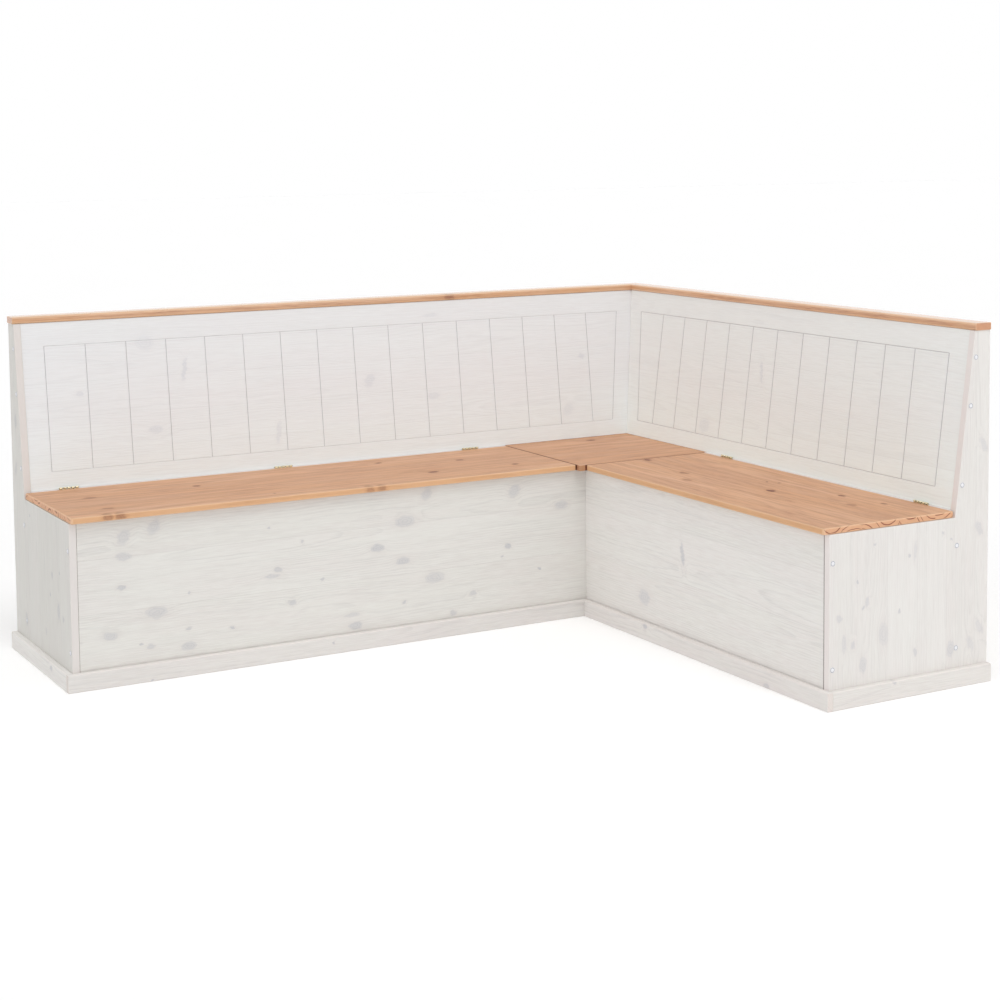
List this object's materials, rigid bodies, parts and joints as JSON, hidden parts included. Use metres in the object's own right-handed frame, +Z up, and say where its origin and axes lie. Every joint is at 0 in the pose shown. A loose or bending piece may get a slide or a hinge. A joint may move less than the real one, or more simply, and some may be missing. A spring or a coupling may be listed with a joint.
{
  "type": "corner storage bench",
  "caption": "L-shaped corner storage bench with a raked grooved backrest, plinth, top rails, hinged seat lids over the storage box and a fixed corner seat.",
  "frame": {"origin": "on the floor, under the middle of the bench's overall box", "axes": "+X along the long leg towards the room corner, +Y towards the wall behind the long leg, +Z up; the short leg runs towards -Y at the +X end"},
  "size_m": [2.113, 1.695, 0.944],
  "materials": {
    "white_pine": "white-glazed pine with pale knots, satin",
    "honey_pine": "honey-stained and oiled pine, satin",
    "raw_pine": "bare planed pine, matt",
    "hinge_brass": "brass-plated, bright",
    "cap_plastic": "moulded, satin"
  },
  "bodies": {
    "root": {"left_side_panel": "white_pine", "right_side_panel": "white_pine", "long_front_panel": "white_pine", "short_front_panel": "white_pine", "long_lower_back_panel": "white_pine", "short_lower_back_panel": "white_pine", "long_backrest_panel": "white_pine", "short_backrest_panel": "white_pine", "long_backrest_cleat": "raw_pine", "short_backrest_cleat": "raw_pine", "long_top_rail": "honey_pine", "short_top_rail": "honey_pine", "corner_seat_board": "honey_pine", "left_plinth": "white_pine", "long_front_plinth": "white_pine", "short_front_plinth": "white_pine", "right_plinth": "white_pine", "long_floor_panel": "raw_pine", "short_floor_panel": "raw_pine", "long_front_floor_batten": "raw_pine", "long_back_floor_batten": "raw_pine", "short_front_floor_batten": "raw_pine", "short_back_floor_batten": "raw_pine", "long_cross_rail": "raw_pine", "short_cross_rail": "raw_pine", "inner_corner_post": "raw_pine", "back_corner_post": "raw_pine", "long_inner_hinge_frame_leaf": "hinge_brass", "long_inner_hinge_pin": "hinge_brass", "long_middle_hinge_frame_leaf": "hinge_brass", "long_middle_hinge_pin": "hinge_brass", "long_outer_hinge_frame_leaf": "hinge_brass", "long_outer_hinge_pin": "hinge_brass", "short_inner_hinge_frame_leaf": "hinge_brass", "short_inner_hinge_pin": "hinge_brass", "short_outer_hinge_frame_leaf": "hinge_brass", "short_outer_hinge_pin": "hinge_brass", "left_screw_cap_1": "cap_plastic", "left_screw_cap_2": "cap_plastic", "left_screw_cap_3": "cap_plastic", "left_screw_cap_4": "cap_plastic", "left_screw_cap_5": "cap_plastic", "left_screw_cap_6": "cap_plastic", "left_screw_cap_7": "cap_plastic", "right_screw_cap_1": "cap_plastic", "right_screw_cap_2": "cap_plastic", "right_screw_cap_3": "cap_plastic", "right_screw_cap_4": "cap_plastic", "right_screw_cap_5": "cap_plastic", "right_screw_cap_6": "cap_plastic", "right_screw_cap_7": "cap_plastic"},
    "long_lid": {"long_seat_lid": "honey_pine", "long_inner_hinge_lid_leaf": "hinge_brass", "long_middle_hinge_lid_leaf": "hinge_brass", "long_outer_hinge_lid_leaf": "hinge_brass"},
    "short_lid": {"short_seat_lid": "honey_pine", "short_inner_hinge_lid_leaf": "hinge_brass", "short_outer_hinge_lid_leaf": "hinge_brass"}
  },
  "joints": [
    {"name": "long_lid_hinge", "type": "hinge", "parent": "root", "child": "long_lid", "pos_m": [-0.2745, 0.729, 0.4636], "axis": [-1, 0, 0], "range_deg": [0, 98]},
    {"name": "short_lid_hinge", "type": "hinge", "parent": "root", "child": "short_lid", "pos_m": [0.938, -0.272, 0.4636], "axis": [0, 1, 0], "range_deg": [0, 98]}
  ]
}
